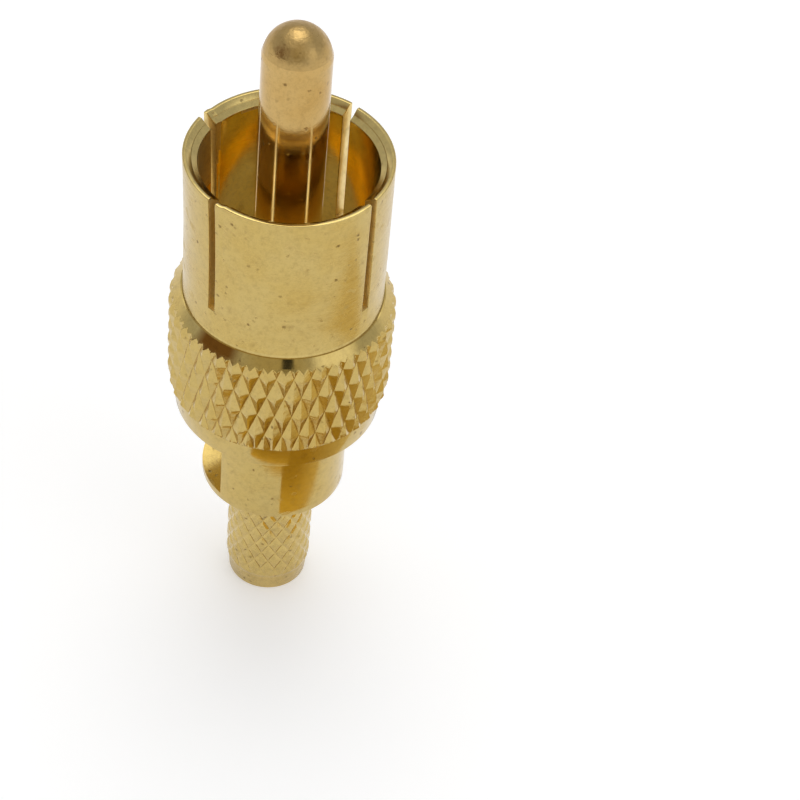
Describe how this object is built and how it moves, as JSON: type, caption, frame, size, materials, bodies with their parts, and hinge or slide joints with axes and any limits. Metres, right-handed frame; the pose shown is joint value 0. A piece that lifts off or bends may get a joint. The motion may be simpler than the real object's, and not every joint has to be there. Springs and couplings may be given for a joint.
{
  "type": "crimp rca plug",
  "caption": "Gold-plated coaxial crimp plug: slotted shell round a domed centre pin, knurled grip ring, solder window and a knurled crimp tail.",
  "frame": {"origin": "centre of the crimp tail's end face, where the plug stands", "axes": "+Z along the plug's axis from the tail to the pin's tip; -Y is the side the milled solder window faces"},
  "size_m": [0.011, 0.011, 0.0359],
  "materials": {
    "gold_plate": "thin pale gold plate over turned brass, satin with fine turning marks",
    "gold_contact": "polished gold plate, slightly rosier than the body",
    "insulator_white": "off-white turned plastic, satin"
  },
  "bodies": {
    "root": {"outer_body": "gold_plate", "crimp_body": "gold_plate", "centre_contact": "gold_contact", "insulator": "insulator_white"}
  },
  "joints": []
}
